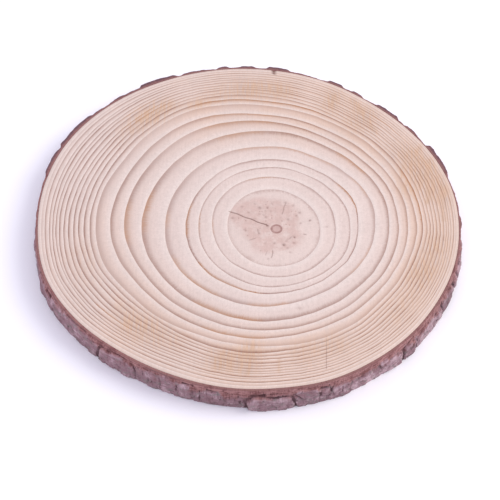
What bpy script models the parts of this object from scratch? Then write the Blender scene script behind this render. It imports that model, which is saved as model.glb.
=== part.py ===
"""A slice sawn across a softwood trunk, lying flat: the pale ringed wood and the ring of bark round it."""

import math

import bpy
import numpy as np

MM = 0.001  # the sizes below are in millimetres, and directions in degrees, anticlockwise from +X
THICKNESS = 12.0  # from sawn face to sawn face
JOIN_GAP = 0.3  # between the wood and its bark
MM_A_DEGREE = 1.65  # along the edge of the slice

# The wood's edge, from the pith, every 15 degrees.
WOOD_EDGE = [
    82.2, 84.5, 86.8, 89.3, 93.0, 98.4, 103.2, 107.3, 110.2, 112.3, 112.6, 110.6,
    107.6, 105.0, 99.8, 94.2, 90.2, 87.6, 85.0, 83.6, 81.6, 80.5, 80.0, 80.8,
]  # fmt: skip
# The ten widest growth rings, from the heart outward, each from the pith: every 30 degrees, and every
# 15 for the last two, which bend more.
WIDE_RINGS = [
    [19.7, 20.3, 21.5, 23.7, 24.4, 23.4, 22.0, 21.5, 21.8, 21.6, 21.2, 20.4],
    [26.7, 28.1, 29.5, 31.6, 32.5, 31.1, 28.8, 28.1, 27.6, 27.7, 27.4, 27.3],
    [33.4, 34.8, 35.4, 37.8, 38.2, 36.8, 35.2, 34.4, 33.6, 33.0, 32.1, 33.4],
    [37.0, 39.7, 40.3, 42.9, 43.5, 42.0, 40.9, 40.0, 38.2, 36.7, 35.3, 36.1],
    [44.6, 47.3, 47.6, 51.1, 52.4, 51.6, 50.3, 48.8, 45.6, 43.1, 40.8, 42.1],
    [51.0, 53.9, 55.9, 61.2, 63.1, 61.8, 60.8, 57.2, 53.7, 51.1, 48.4, 49.0],
    [55.2, 57.9, 60.5, 67.2, 72.2, 70.6, 68.5, 62.8, 58.9, 55.9, 53.0, 52.9],
    [59.5, 62.2, 65.2, 71.8, 78.6, 76.6, 75.0, 68.0, 63.5, 59.8, 56.9, 56.7],
    [
        63.5, 64.5, 66.1, 68.4, 70.6, 74.1, 77.7, 82.1, 85.3, 84.8, 82.9, 83.0,
        81.4, 79.0, 73.9, 70.6, 67.5, 65.4, 64.2, 63.2, 61.7, 60.6, 60.5, 61.3,
    ],
    [
        66.3, 67.1, 69.3, 71.5, 73.3, 77.3, 81.2, 85.8, 88.3, 87.3, 86.0, 85.4,
        84.4, 81.4, 76.4, 72.7, 70.9, 69.1, 67.1, 65.3, 63.7, 62.5, 62.8, 63.8,
    ],
]  # fmt: skip
# The narrow rings outside them, as shares of the way from the last wide ring to the wood's edge, every
# 30 degrees.
NARROW_RINGS = [
    [0.12, 0.11, 0.09, 0.14, 0.14, 0.11, 0.11, 0.10, 0.08, 0.11, 0.12, 0.10],
    [0.21, 0.21, 0.19, 0.24, 0.23, 0.20, 0.21, 0.20, 0.165, 0.205, 0.21, 0.19],
    [0.30, 0.30, 0.29, 0.34, 0.32, 0.29, 0.315, 0.33, 0.26, 0.31, 0.31, 0.31],
    [0.40, 0.38, 0.36, 0.40, 0.40, 0.36, 0.41, 0.425, 0.345, 0.395, 0.40, 0.40],
    [0.50, 0.46, 0.43, 0.46, 0.49, 0.46, 0.505, 0.51, 0.42, 0.46, 0.47, 0.50],
    [0.60, 0.57, 0.54, 0.57, 0.57, 0.55, 0.59, 0.61, 0.505, 0.54, 0.56, 0.58],
    [0.66, 0.64, 0.61, 0.64, 0.65, 0.62, 0.65, 0.66, 0.57, 0.61, 0.62, 0.65],
    [0.73, 0.72, 0.69, 0.71, 0.72, 0.71, 0.72, 0.733, 0.65, 0.68, 0.69, 0.73],
    [0.79, 0.78, 0.76, 0.78, 0.79, 0.77, 0.78, 0.79, 0.72, 0.75, 0.76, 0.79],
    [0.87, 0.85, 0.83, 0.86, 0.87, 0.87, 0.867, 0.87, 0.81, 0.83, 0.83, 0.85],
]
WIDE_GROOVE_DEPTH = 0.32
WIDE_GROOVE_INNER = 1.3  # from the groove's bottom back to its inner lip
WIDE_GROOVE_OUTER = 0.35
NARROW_GROOVE_DEPTH = 0.26
NARROW_GROOVE_OUTER = 0.3
PITH_RADIUS = 2.8
PITH_GROOVE = 0.35
PITH_COLUMNS = 18
HEART_COLUMNS = 36
RING_COLUMNS = 72
EDGE_COLUMNS = 144

# The bark at the top face, outward from the wood's edge, every 15 degrees.
BARK_AT_TOP = [
    1.1, 1.1, 1.2, 1.2, 1.2, 1.2, 1.2, 1.2, 1.2, 1.2, 1.2, 1.1,
    1.1, 1.2, 1.2, 1.2, 1.2, 1.2, 1.2, 1.1, 1.1, 1.1, 1.1, 1.1,
]  # fmt: skip
# The same at the bottom face, where no plate covers it.
BARK_AT_FOOT = [
    1.7, 1.6, 1.5, 1.5, 1.5, 1.5, 1.6, 1.6, 1.8, 1.6, 1.6, 1.7,
    1.7, 2.1, 2.2, 2.0, 1.7, 1.5, 1.6, 1.6, 1.4, 1.6, 1.8, 1.8,
]  # fmt: skip
LEAST_BARK = 1.0
BARK_COLUMNS = 384
BARK_HEIGHTS = [12.0, 11.2, 10.0, 8.7, 7.4, 6.1, 4.8, 3.4, 1.8, 0.0]
# Outer bark plates: first and last direction, lowest and highest edge, how far out each end stands,
# and the height over which the plate thins to its highest edge (0 where that is the top face).
PLATES = [
    (1, 7, 3, 12, 1.3, 1.1, 0),
    (10, 21, 0, 9, 1.9, 2.1, 2.0),
    (21, 36.5, 0, 12, 1.9, 2.7, 0),
    (38, 44, 0, 8, 2.0, 1.8, 2.6),
    (40.5, 47, 0, 12, 1.3, 1.8, 0),
    (48.5, 57, 0, 12, 2.3, 2.2, 0),
    (59, 64, 0, 8, 2.2, 2.0, 2.6),
    (61.5, 67, 0, 12, 1.5, 1.9, 0),
    (69.5, 75.5, 0, 12, 2.2, 1.9, 0),
    (77, 84, 0, 9, 2.0, 2.4, 2.6),
    (84.5, 91.5, 0, 12, 2.6, 2.7, 0),
    (92, 102, 0, 10, 1.8, 2.2, 2.6),
    (94, 99.5, 0, 12, 2.1, 1.9, 0),
    (102.5, 107, 0, 12, 2.3, 2.0, 0),
    (108, 115, 0, 8, 2.4, 2.1, 2.6),
    (109, 115, 0, 12, 1.5, 1.7, 0),
    (115, 125.5, 0, 12, 2.7, 2.7, 0),
    (127, 135, 0, 12, 1.9, 1.8, 0),
    (136, 142, 0, 12, 1.5, 1.7, 0),
    (141.5, 153, 0, 12, 2.5, 2.6, 0),
    (153, 163, 0, 12, 2.1, 1.9, 0),
    (164, 178, 0, 7, 1.8, 2.2, 2.6),
    (178, 191, 2, 9, 2.0, 1.7, 2.6),
    (192, 201.2, 0, 11, 2.2, 2.6, 1.6),
    (201, 219, 0, 9, 2.5, 2.1, 2.6),
    (219.5, 230, 0, 7, 3.1, 2.3, 0.9),
    (229.8, 247, 0, 9, 1.9, 2.0, 2.6),
    (248, 256, 0, 8, 1.9, 1.6, 2.6),
    (261.5, 273.9, 0, 8, 3.3, 2.8, 0.6),
    (274.2, 281.6, 0, 11, 2.1, 2.2, 1.5),
    (281.9, 284.5, 0, 9, 1.9, 2.0, 2.6),
    (284.8, 291, 0, 9, 2.3, 1.8, 1.5),
    (293, 301.5, 0, 7, 1.5, 1.6, 2.6),
    (301.5, 308.4, 0, 8, 1.6, 2.4, 1.2),
    (308.7, 312.3, 0, 9, 3.0, 3.3, 0.9),
    (317, 330.5, 0, 8, 1.7, 2.3, 2.6),
    (331, 340, 0, 9, 2.3, 2.5, 2.6),
    (341, 344, 2, 10, 3.0, 2.7, 2.6),
    (345, 359, 0, 9, 2.3, 1.9, 2.6),
]
PLATE_EDGE = 0.9  # the run over which a plate's ends drop
TALL_PLATE_EDGE = 2.2  # the same on a plate that reaches the top face
PLATE_SLANT = 0.28
PLATE_SLANT_TURNS = 11
PLATE_WANDER = 0.7  # how far a plate's edge strays, sideways or up and down
STRAY_LENGTHS = (3, 14)  # the shortest and longest waves of that
STRAY_WAVES = 4
SCALES = 64
SCALE_MIDDLES = (0.5, 8.0)  # lowest and highest, and so on for the ranges below
SCALE_HALF_WIDTHS = (1.6, 3.6)
SCALE_HALF_HEIGHTS = (1.6, 3.4)
SCALE_LIFTS = (0.2, 0.55)
SCALE_SLANT = 0.3
SCALE_TILT = 0.4  # how much more its lower end lifts than its middle
FISSURES = 62
FISSURE_WIDTH = 0.9
FISSURE_DEPTHS = (0.2, 1.2)
FISSURE_LOW_ENDS = (-6, 3)
FISSURE_HIGH_ENDS = (5, 10)
FISSURE_LEANS = (-0.3, 0.3)
FISSURE_STRAY = 0.5
FISSURE_TAPER = 2.0
SMOOTH_BAND = 1.5  # from the top face down, with neither scales nor fissures
SEED = 11

WOOD_COLOUR = (0.80, 0.60, 0.47, 1.0)
WOOD_ROUGHNESS = 0.6
WOOD_CREASE = 3  # the least angle, in degrees, that is shaded as an edge
BARK_COLOUR = (0.17, 0.082, 0.072, 1.0)
BARK_ROUGHNESS = 0.9
BARK_CREASE = 35


def around(values, turn):
    """A smooth closed curve through values that are evenly spaced round the slice."""
    values = np.asarray(values, float)
    place = np.asarray(turn, float) / 360 * len(values)
    first = np.floor(place).astype(int)
    share = place - first
    a, b, c, d = (values[(first + step) % len(values)] for step in (-1, 0, 1, 2))
    bend = 2 * a - 5 * b + 4 * c - d + share * (3 * (b - c) + d - a)
    return b + 0.5 * share * (c - a + share * bend)


def smooth(share):
    """0 below 0, 1 above 1, and an even S between."""
    share = np.clip(share, 0, 1)
    return share * share * (3 - 2 * share)


def sway(position, seed):
    """A gentle wander between about -1 and 1, along a position in millimetres."""
    draw = np.random.default_rng(seed)
    lengths = draw.uniform(*STRAY_LENGTHS, STRAY_WAVES)
    starts = draw.uniform(0, 2 * math.pi, STRAY_WAVES)
    waves = [np.sin(2 * math.pi * position / run + start) for run, start in zip(lengths, starts)]
    return sum(waves) / STRAY_WAVES


def signed_turn(turn, middle):
    """Degrees from middle to turn, the short way."""
    return (turn - middle + 180) % 360 - 180


def plate_layer(turn, height, base):
    """The outer bark's plates, as the distance they add to the inner bark."""
    added = np.zeros_like(base)
    slant = PLATE_SLANT * np.sin(np.radians(PLATE_SLANT_TURNS * turn))
    for number, (first, last, low, high, out_first, out_last, slope) in enumerate(PLATES):
        half = (last - first) / 2
        off = signed_turn(turn, first + half)
        along = off * MM_A_DEGREE + slant * (height - THICKNESS / 2)
        stray = PLATE_WANDER * sway(height, SEED + number)
        side = half * MM_A_DEGREE - np.abs(along + stray)
        top = high - height + PLATE_WANDER * sway(along, 2 * SEED + number)
        inside = smooth(side / (PLATE_EDGE if slope > 0 else TALL_PLATE_EDGE))
        if slope > 0:
            inside = inside * smooth(top / slope)
        if low > 0:
            inside = inside * smooth((height - low) / PLATE_EDGE)
        out = out_first + (out_last - out_first) * np.clip(off / (2 * half) + 0.5, 0, 1)
        added = np.maximum(added, inside * (out - base))
    return added


def scale_layer(turn, height):
    """Small loose scales, spread by a seeded draw over the lower two thirds."""
    draw = np.random.default_rng(SEED)
    added = np.zeros_like(turn)
    for number in range(SCALES):
        middle = (number + draw.uniform(0.1, 0.9)) * 360 / SCALES
        centre = draw.uniform(*SCALE_MIDDLES)
        wide = draw.uniform(*SCALE_HALF_WIDTHS)
        tall = draw.uniform(*SCALE_HALF_HEIGHTS)
        lift = draw.uniform(*SCALE_LIFTS)
        across = signed_turn(turn, middle) * MM_A_DEGREE / wide
        up = (height - centre) / tall
        edge = 1 - np.maximum(np.abs(across + SCALE_SLANT * up), np.abs(up))
        added = np.maximum(added, lift * (1 - SCALE_TILT * up) * smooth(3 * edge))
    return added


def fissure_layer(turn, height):
    """Upright cracks, spread by a seeded draw, as the depth that they take away."""
    draw = np.random.default_rng(SEED + 1)
    taken = np.zeros_like(turn)
    for number in range(FISSURES):
        middle = draw.uniform(0, 360)
        least, most = FISSURE_DEPTHS
        depth = least + (most - least) * draw.uniform(0, 1) ** 2
        low = draw.uniform(*FISSURE_LOW_ENDS)
        high = draw.uniform(*FISSURE_HIGH_ENDS)
        lean = draw.uniform(*FISSURE_LEANS)
        stray = lean * height + FISSURE_STRAY * sway(height, number)
        across = signed_turn(turn, middle) * MM_A_DEGREE + stray
        reach = smooth((height - low) / FISSURE_TAPER) * smooth((high - height) / FISSURE_TAPER)
        taken = np.maximum(taken, depth * reach * np.exp(-((across / FISSURE_WIDTH) ** 2)))
    return taken


def bark_out(turn, height):
    """How far the bark's outside is from the wood's edge."""
    share = 1 - height / THICKNESS
    base = around(BARK_AT_TOP, turn) * (1 - share) + around(BARK_AT_FOOT, turn) * share
    out = base + plate_layer(turn, height, base)
    lower = smooth((THICKNESS - height) / SMOOTH_BAND)
    out = out + lower * (scale_layer(turn, height) - fissure_layer(turn, height))
    return np.maximum(out, LEAST_BARK)


def loop(radius, height, columns):
    """Points round the pith, at a radius given for each direction."""
    turn = np.arange(columns) * 360 / columns
    angle = np.radians(turn)
    out = radius(turn) if callable(radius) else np.full(columns, radius)
    return np.stack([out * np.cos(angle), out * np.sin(angle), np.full(columns, height)], 1)


def wood_edge(turn):
    return around(WOOD_EDGE, turn)


def wide_ring(number, shift=0.0):
    return lambda turn: around(WIDE_RINGS[number], turn) + shift


def narrow_ring(number, shift=0.0):
    def radius(turn):
        start = around(WIDE_RINGS[-1], turn)
        return start + around(NARROW_RINGS[number], turn) * (wood_edge(turn) - start) + shift

    return radius


def wood_loops():
    """The loops of the wood's outside, from the middle of the top face to the bottom edge."""
    top = THICKNESS
    loops = [
        loop(PITH_RADIUS - PITH_GROOVE, top, PITH_COLUMNS),
        loop(PITH_RADIUS, top - WIDE_GROOVE_DEPTH, PITH_COLUMNS),
        loop(PITH_RADIUS + PITH_GROOVE, top, PITH_COLUMNS),
    ]
    for number in range(len(WIDE_RINGS)):
        columns = HEART_COLUMNS if number == 0 else RING_COLUMNS
        loops.append(loop(wide_ring(number, -WIDE_GROOVE_INNER), top, columns))
        loops.append(loop(wide_ring(number), top - WIDE_GROOVE_DEPTH, columns))
        loops.append(loop(wide_ring(number, WIDE_GROOVE_OUTER), top, columns))
    for number in range(len(NARROW_RINGS)):
        loops.append(loop(narrow_ring(number), top - NARROW_GROOVE_DEPTH, RING_COLUMNS))
        loops.append(loop(narrow_ring(number, NARROW_GROOVE_OUTER), top, RING_COLUMNS))
    loops.append(loop(wood_edge, top, EDGE_COLUMNS))
    loops.append(loop(wood_edge, 0.0, EDGE_COLUMNS))
    return loops


def stitch(first, second, inner, outer):
    """Faces between two loops: as many points in both, or twice as many in the outer one."""
    faces = []
    for step in range(inner):
        here = first + step
        after = first + (step + 1) % inner
        if inner == outer:
            faces.append((here, second + step, second + (step + 1) % outer, after))
            continue
        left, middle, right = (second + (2 * step + k) % outer for k in range(3))
        faces.append((here, left, middle))
        faces.append((here, middle, after))
        faces.append((after, middle, right))
    return faces


def wood_mesh():
    """One closed body: a fan at the pith, the loops outward and down, and a fan under the bottom."""
    loops = wood_loops()
    points = [(0.0, 0.0, THICKNESS)]
    faces = []
    start = 1
    for step in range(PITH_COLUMNS):
        faces.append((0, start + step, start + (step + 1) % PITH_COLUMNS))
    for ring, following in zip(loops, loops[1:]):
        points.extend(ring)
        faces.extend(stitch(start, start + len(ring), len(ring), len(following)))
        start += len(ring)
    points.extend(loops[-1])
    centre = len(points)
    points.append((0.0, 0.0, 0.0))
    for step in range(EDGE_COLUMNS):
        faces.append((start + step, centre, start + (step + 1) % EDGE_COLUMNS))
    return np.array(points), faces


def bark_mesh():
    """One closed ring: its outside from the top down, then its inside wall from the bottom up."""
    loops = []
    for height in BARK_HEIGHTS:
        loops.append(loop(lambda turn: wood_edge(turn) + bark_out(turn, height), height, BARK_COLUMNS))
    for height in (0.0, THICKNESS):
        loops.append(loop(lambda turn: wood_edge(turn) + JOIN_GAP, height, BARK_COLUMNS))
    faces = []
    for number in range(len(loops)):
        following = (number + 1) % len(loops)
        faces.extend(stitch(number * BARK_COLUMNS, following * BARK_COLUMNS, BARK_COLUMNS, BARK_COLUMNS))
    return np.concatenate(loops), faces


def material(name, colour, roughness):
    made = bpy.data.materials.new(name)
    made.use_nodes = True
    shader = made.node_tree.nodes["Principled BSDF"]
    shader.inputs["Base Color"].default_value = colour
    shader.inputs["Roughness"].default_value = roughness
    made.diffuse_color = colour
    return made


def add_object(name, points, faces, surface, crease):
    mesh = bpy.data.meshes.new(name)
    mesh.from_pydata([tuple(float(v) for v in point) for point in points], [], faces)
    mesh.validate()
    mesh.materials.append(surface)
    mesh.shade_smooth()
    mesh.set_sharp_from_angle(angle=math.radians(crease))
    made = bpy.data.objects.new(name, mesh)
    bpy.context.scene.collection.objects.link(made)


def middle_of(points):
    """The middle of the footprint, which the part's origin is under."""
    flat = points[:, :2]
    return np.append((flat.min(0) + flat.max(0)) / 2, 0.0)


def main():
    for old in list(bpy.data.objects):
        bpy.data.objects.remove(old, do_unlink=True)
    bark_points, bark_faces = bark_mesh()
    wood_points, wood_faces = wood_mesh()
    middle = middle_of(bark_points)
    print("pith at", np.round(-middle, 4))
    wood_paint = material("wood", WOOD_COLOUR, WOOD_ROUGHNESS)
    bark_paint = material("bark", BARK_COLOUR, BARK_ROUGHNESS)
    add_object("wood", (wood_points - middle) * MM, wood_faces, wood_paint, WOOD_CREASE)
    add_object("bark", (bark_points - middle) * MM, bark_faces, bark_paint, BARK_CREASE)


main()
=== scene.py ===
"""Looks for the wood slice: its ringed wood and its flaky bark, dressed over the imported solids."""

import math

import bpy
import numpy as np
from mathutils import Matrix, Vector


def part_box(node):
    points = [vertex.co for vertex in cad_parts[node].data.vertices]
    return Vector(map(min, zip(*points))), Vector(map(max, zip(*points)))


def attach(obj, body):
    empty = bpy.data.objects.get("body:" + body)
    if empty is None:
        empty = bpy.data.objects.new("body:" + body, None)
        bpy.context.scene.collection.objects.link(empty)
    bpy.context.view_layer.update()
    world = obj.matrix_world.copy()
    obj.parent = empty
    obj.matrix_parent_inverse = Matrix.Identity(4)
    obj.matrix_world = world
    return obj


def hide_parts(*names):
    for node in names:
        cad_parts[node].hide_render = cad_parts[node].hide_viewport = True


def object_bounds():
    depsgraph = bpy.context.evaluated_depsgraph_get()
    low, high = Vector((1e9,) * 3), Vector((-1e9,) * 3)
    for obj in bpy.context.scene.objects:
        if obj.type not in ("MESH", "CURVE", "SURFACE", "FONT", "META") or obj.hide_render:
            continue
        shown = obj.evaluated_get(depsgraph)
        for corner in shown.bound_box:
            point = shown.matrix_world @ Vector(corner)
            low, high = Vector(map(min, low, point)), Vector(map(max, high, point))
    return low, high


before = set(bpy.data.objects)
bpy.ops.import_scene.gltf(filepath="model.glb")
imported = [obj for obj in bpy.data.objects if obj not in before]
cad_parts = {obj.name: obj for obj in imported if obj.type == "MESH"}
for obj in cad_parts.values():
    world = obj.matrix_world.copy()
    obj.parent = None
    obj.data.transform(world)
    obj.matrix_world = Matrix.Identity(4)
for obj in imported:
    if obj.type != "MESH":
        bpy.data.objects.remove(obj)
cad_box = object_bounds()
scene = bpy.context.scene

MM = 0.001  # the sizes below are in millimetres, and directions in degrees, anticlockwise from +X
THICKNESS = 12.0
MM_A_DEGREE = 1.65  # along the edge of the slice
SEED = 11

# The wood's edge, from the pith, every 15 degrees.
WOOD_EDGE = [
    82.2, 84.5, 86.8, 89.3, 93.0, 98.4, 103.2, 107.3, 110.2, 112.3, 112.6, 110.6,
    107.6, 105.0, 99.8, 94.2, 90.2, 87.6, 85.0, 83.6, 81.6, 80.5, 80.0, 80.8,
]
# The ten widest growth rings, from the heart outward, each from the pith: every 30 degrees, and every
# 15 for the last two, which bend more.
WIDE_RINGS = [
    [19.7, 20.3, 21.5, 23.7, 24.4, 23.4, 22, 21.5, 21.8, 21.6, 21.2, 20.4],
    [26.7, 28.1, 29.5, 31.6, 32.5, 31.1, 28.8, 28.1, 27.6, 27.7, 27.4, 27.3],
    [33.4, 34.8, 35.4, 37.8, 38.2, 36.8, 35.2, 34.4, 33.6, 33, 32.1, 33.4],
    [37, 39.7, 40.3, 42.9, 43.5, 42, 40.9, 40, 38.2, 36.7, 35.3, 36.1],
    [44.6, 47.3, 47.6, 51.1, 52.4, 51.6, 50.3, 48.8, 45.6, 43.1, 40.8, 42.1],
    [51, 53.9, 55.9, 61.2, 63.1, 61.8, 60.8, 57.2, 53.7, 51.1, 48.4, 49],
    [55.2, 57.9, 60.5, 67.2, 72.2, 70.6, 68.5, 62.8, 58.9, 55.9, 53, 52.9],
    [59.5, 62.2, 65.2, 71.8, 78.6, 76.6, 75, 68, 63.5, 59.8, 56.9, 56.7],
    [
        63.5, 64.5, 66.1, 68.4, 70.6, 74.1, 77.7, 82.1, 85.3, 84.8, 82.9, 83,
        81.4, 79, 73.9, 70.6, 67.5, 65.4, 64.2, 63.2, 61.7, 60.6, 60.5, 61.3,
    ],
    [
        66.3, 67.1, 69.3, 71.5, 73.3, 77.3, 81.2, 85.8, 88.3, 87.3, 86, 85.4,
        84.4, 81.4, 76.4, 72.7, 70.9, 69.1, 67.1, 65.3, 63.7, 62.5, 62.8, 63.8,
    ],
]
# The narrow rings outside them, as shares of the way from the last wide ring to the wood's edge, every
# 30 degrees.
NARROW_RINGS = [
    [0.12, 0.11, 0.09, 0.14, 0.14, 0.11, 0.11, 0.1, 0.08, 0.11, 0.12, 0.1],
    [0.21, 0.21, 0.19, 0.24, 0.23, 0.2, 0.21, 0.2, 0.165, 0.205, 0.21, 0.19],
    [0.3, 0.3, 0.29, 0.34, 0.32, 0.29, 0.315, 0.33, 0.26, 0.31, 0.31, 0.31],
    [0.4, 0.38, 0.36, 0.4, 0.4, 0.36, 0.41, 0.425, 0.345, 0.395, 0.4, 0.4],
    [0.5, 0.46, 0.43, 0.46, 0.49, 0.46, 0.505, 0.51, 0.42, 0.46, 0.47, 0.5],
    [0.6, 0.57, 0.54, 0.57, 0.57, 0.55, 0.59, 0.61, 0.505, 0.54, 0.56, 0.58],
    [0.66, 0.64, 0.61, 0.64, 0.65, 0.62, 0.65, 0.66, 0.57, 0.61, 0.62, 0.65],
    [0.73, 0.72, 0.69, 0.71, 0.72, 0.71, 0.72, 0.733, 0.65, 0.68, 0.69, 0.73],
    [0.79, 0.78, 0.76, 0.78, 0.79, 0.77, 0.78, 0.79, 0.72, 0.75, 0.76, 0.79],
    [0.87, 0.85, 0.83, 0.86, 0.87, 0.87, 0.867, 0.87, 0.81, 0.83, 0.83, 0.85],
]
RING_COUNT = len(WIDE_RINGS) + len(NARROW_RINGS) + 1
PITH_RADIUS = 2.8
# Where in each ring the dark summer wood starts, from the heart outward.
LATE_STARTS = [0.93, 0.78, 0.78, 0.64, 0.58, 0.54, 0.46, 0.46, 0.4, 0.35] + [0.35] * 11
LATE_START_SWING = 0.05  # earlier at the left, later at the right
LATEST_START = 0.92
# How dark it gets: in each ring, at 0, 90, 180 and 270 degrees.
LATE_DARKS = [
    [0.45, 0.5, 0.45, 0.4], [0.65, 0.65, 0.65, 0.7], [0.65, 0.7, 0.75, 0.75], [1, 0.75, 1, 0.95],
    [0.58, 0.55, 0.7, 0.74], [0.76, 0.82, 0.8, 0.86], [0.78, 0.85, 0.75, 0.75], [0.62, 0.82, 0.78, 0.78],
    [0.6, 0.4, 0.55, 0.4], [0.95, 0.95, 0.85, 0.9], [0.6, 0.6, 1, 0.6], [0.85, 0.5, 1, 0.85],
    [0.85, 0.65, 1, 0.8], [0.85, 0.6, 0.95, 0.65], [0.95, 0.7, 0.95, 0.75], [0.7, 0.6, 0.95, 0.55],
    [0.6, 0.55, 0.85, 0.5], [0.9, 0.85, 1, 0.9], [0.55, 0.5, 0.8, 0.45], [0.85, 0.65, 0.75, 0.85],
    [0.35, 0.35, 0.3, 0.3],
]
# How much darker or paler that is for the narrow rings, every 30 degrees.
NARROW_DARKS = [0.95, 0.95, 1.1, 1.25, 1.1, 0.9, 0.85, 1.25, 1.15, 1.0, 1.0, 0.9]
SOFT_PLACE = (129, 18, 0.4)  # where the wide rings' lines are fainter: direction, half width, how much
# How warm the outer wood is, every 30 degrees, and where the warmth starts and is full.
WARMTH = [1.4, 1.4, 1.4, 1.1, 0.65, 0.2, 0.35, 0.7, 1.0, 1.15, 1.35, 1.4]
WARMTH_START = 42
WARMTH_FULL = 76
# How far the heart's tint reaches from the pith, every 30 degrees.
HEART_REACH = [11, 11.5, 15.5, 17, 20.5, 24, 17, 14, 16, 12.5, 13, 13.5]
HEART_FADE = 5.0
RING_STEP = 0.12  # between the end of one ring and the start of the next
RIPPLE_STARTS = (4, 12)  # over how many rings all the ripples grow, and the finest
RIPPLE_END = 3  # over how many rings they end
EDGE_BAND = 3.2  # the paler wood under the bark
EDGE_PHASE = 0.3  # what the wood's edge itself is drawn with
WOOD_COLUMNS = 400
EDGE_COLUMNS = 144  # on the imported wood
WIDE_PHASES = [0.0, 0.15, 0.3, 0.45, 0.58, 0.7, 0.8, 0.88, 0.95, 1.0]
NARROW_PHASES = [0.0, 0.3, 0.55, 0.8, 1.0]
RIM_PHASES = [0.0, 0.2, 0.35, 0.48, 0.5, 0.7, 0.85, 1.0]  # with a faint line halfway
HEART_STEPS = 34
HEART_PHASES = [step / HEART_STEPS for step in range(HEART_STEPS + 1)]
UNDER_PHASES = [0.0, 0.5, 1.0]
PITH_ROWS = [0.7, 1.4, 1.8, 2.1, 2.4, 2.6]
WIDE_GROOVE = 0.05
NARROW_GROOVE = 0.035
GROOVE_START = 0.7
ORANGE_FADE = 7
# Orange summer wood: the ring, counted from the heart, and its first and last direction.
ORANGE_RUNS = [
    (2, 88, 118), (2, 165, 190), (3, 160, 187), (4, 12, 48), (4, 155, 190), (4, 205, 262), (5, 22, 45),
    (5, 52, 114), (5, 165, 182), (5, 196, 240), (5, 250, 280), (5, 318, 350), (6, 35, 62), (6, 92, 120),
    (6, 155, 185), (6, 225, 265), (7, 86, 122), (7, 163, 190), (8, 86, 118), (8, 236, 268), (10, 0, 35),
    (10, 70, 120), (13, 120, 140), (14, 122, 142), (15, 205, 225), (16, 122, 140), (18, 18, 60),
]
# Golden patches: direction, distance from the pith, half their size both ways in millimetres, strength.
GOLD_PATCHES = [
    (98, 91, 16, 7, 0.95), (88, 88, 9, 5, 0.6), (115, 88, 7, 4, 0.5), (59, 81, 8, 11, 0.8),
    (71, 87, 6, 11, 0.6), (35, 76, 12, 8, 0.8), (20, 80, 17, 8, 1.1), (22, 65, 6, 5, 0.5),
    (350, 73, 13, 7, 0.8), (338, 68, 8, 6, 0.7), (322, 70, 14, 7, 0.4), (291, 67, 8, 6, 0.6),
    (279, 68, 7, 6, 0.5), (260, 71, 5, 9, 0.8), (252, 75, 7, 6, 0.9), (229, 76, 12, 6, 0.6),
    (220, 81, 13, 6, 0.8), (195, 87, 14, 8, 0.4), (133, 93, 14, 7, 0.85), (126, 95, 8, 6, 0.5),
]
# Golden streaks across the rings: from and to, each a direction and a distance, half width, strength.
GOLD_STREAKS = [
    ((13, 71.4), (30.5, 85.6), 1, 0.8), ((32, 78), (37, 87), 0.9, 0.8),
    ((65, 91), (51, 77), 1.4, 0.7), ((71, 90), (70, 82), 1.2, 0.5),
    ((260.6, 65), (260.2, 79), 1, 0.9), ((251.8, 72), (251.2, 79), 1.6, 0.6),
    ((257.2, 71), (257, 78), 0.5, 0.5), ((270, 71), (270, 77), 0.9, 0.4),
    ((4, 76), (22, 84), 1.1, 0.6), ((28, 66), (33, 71), 0.9, 0.5),
]
# Dark lines from the pith outward: direction, first and last distance, half width, strength.
CRACKS = [
    (153.6, 3.6, 24.4, 0.28, 0.9), (90, 100.2, 104, 0.55, 1),
    (74, 8.5, 16.8, 0.25, 0.5), (261.7, 12, 17.4, 0.25, 0.6), (208.9, 10.2, 14.4, 0.22, 0.5),
    (345.2, 11.9, 14.3, 0.28, 0.6), (252, 13, 16.4, 0.2, 0.4), (262.5, 81, 84, 0.2, 0.3),
]
# A fine crack that leans: where it starts and ends, each a direction and a distance, and its half width.
FINE_CRACK = ((288.9, 63.0), (284.5, 78.6), 0.2)
# Dark arcs: first and last direction, distance from the pith, half width, strength.
ARCS = [(178, 204, 8.4, 0.3, 0.55), (296, 336, 8.1, 0.28, 0.5)]
# Dark dots: direction, distance from the pith, half size, strength.
DOTS = [
    (156, 4.5, 0.55, 0.9), (123, 17.8, 0.5, 0.5), (121, 14.6, 0.8, 0.6), (107.5, 13.3, 0.6, 0.6),
    (123.9, 8.4, 0.55, 0.5), (103.5, 10.7, 0.5, 0.4), (125.7, 10.1, 0.5, 0.4), (139.9, 20.5, 0.6, 0.4),
    (142.6, 16, 0.6, 0.4), (161.9, 20.9, 0.6, 0.5), (74.5, 16.3, 0.6, 0.5), (60.8, 15.8, 0.6, 0.35),
    (46, 7.7, 0.65, 0.5), (42.2, 14.4, 0.7, 0.5), (41.3, 12.1, 0.5, 0.5), (16.8, 11.4, 0.6, 0.5),
    (18.2, 16, 0.55, 0.8), (3.1, 22.5, 0.55, 0.5), (329, 9.3, 0.55, 0.7), (288.6, 9.8, 0.7, 0.8),
    (313.4, 11.2, 0.65, 0.5), (293.8, 12.1, 0.5, 0.4), (293.5, 14.8, 0.5, 0.4), (262.5, 8.4, 0.6, 0.5),
    (237.9, 9.8, 0.5, 0.3), (257, 17.7, 0.5, 0.4), (282, 45.5, 0.8, 0.4), (131, 11.8, 0.5, 0.4),
    (148, 11.6, 0.45, 0.3), (115, 11.9, 0.5, 0.35), (97, 15.4, 0.5, 0.3), (181.5, 14.2, 0.7, 0.35),
]
CRACK_DEPTH = 0.35
CRACK_BEND = 0.16
CRACK_WAVES = 0.9
MARK_FADE = 0.8
ARC_FADE = 4
ARC_BEND = 0.2
ARC_WAVES = 9

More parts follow.
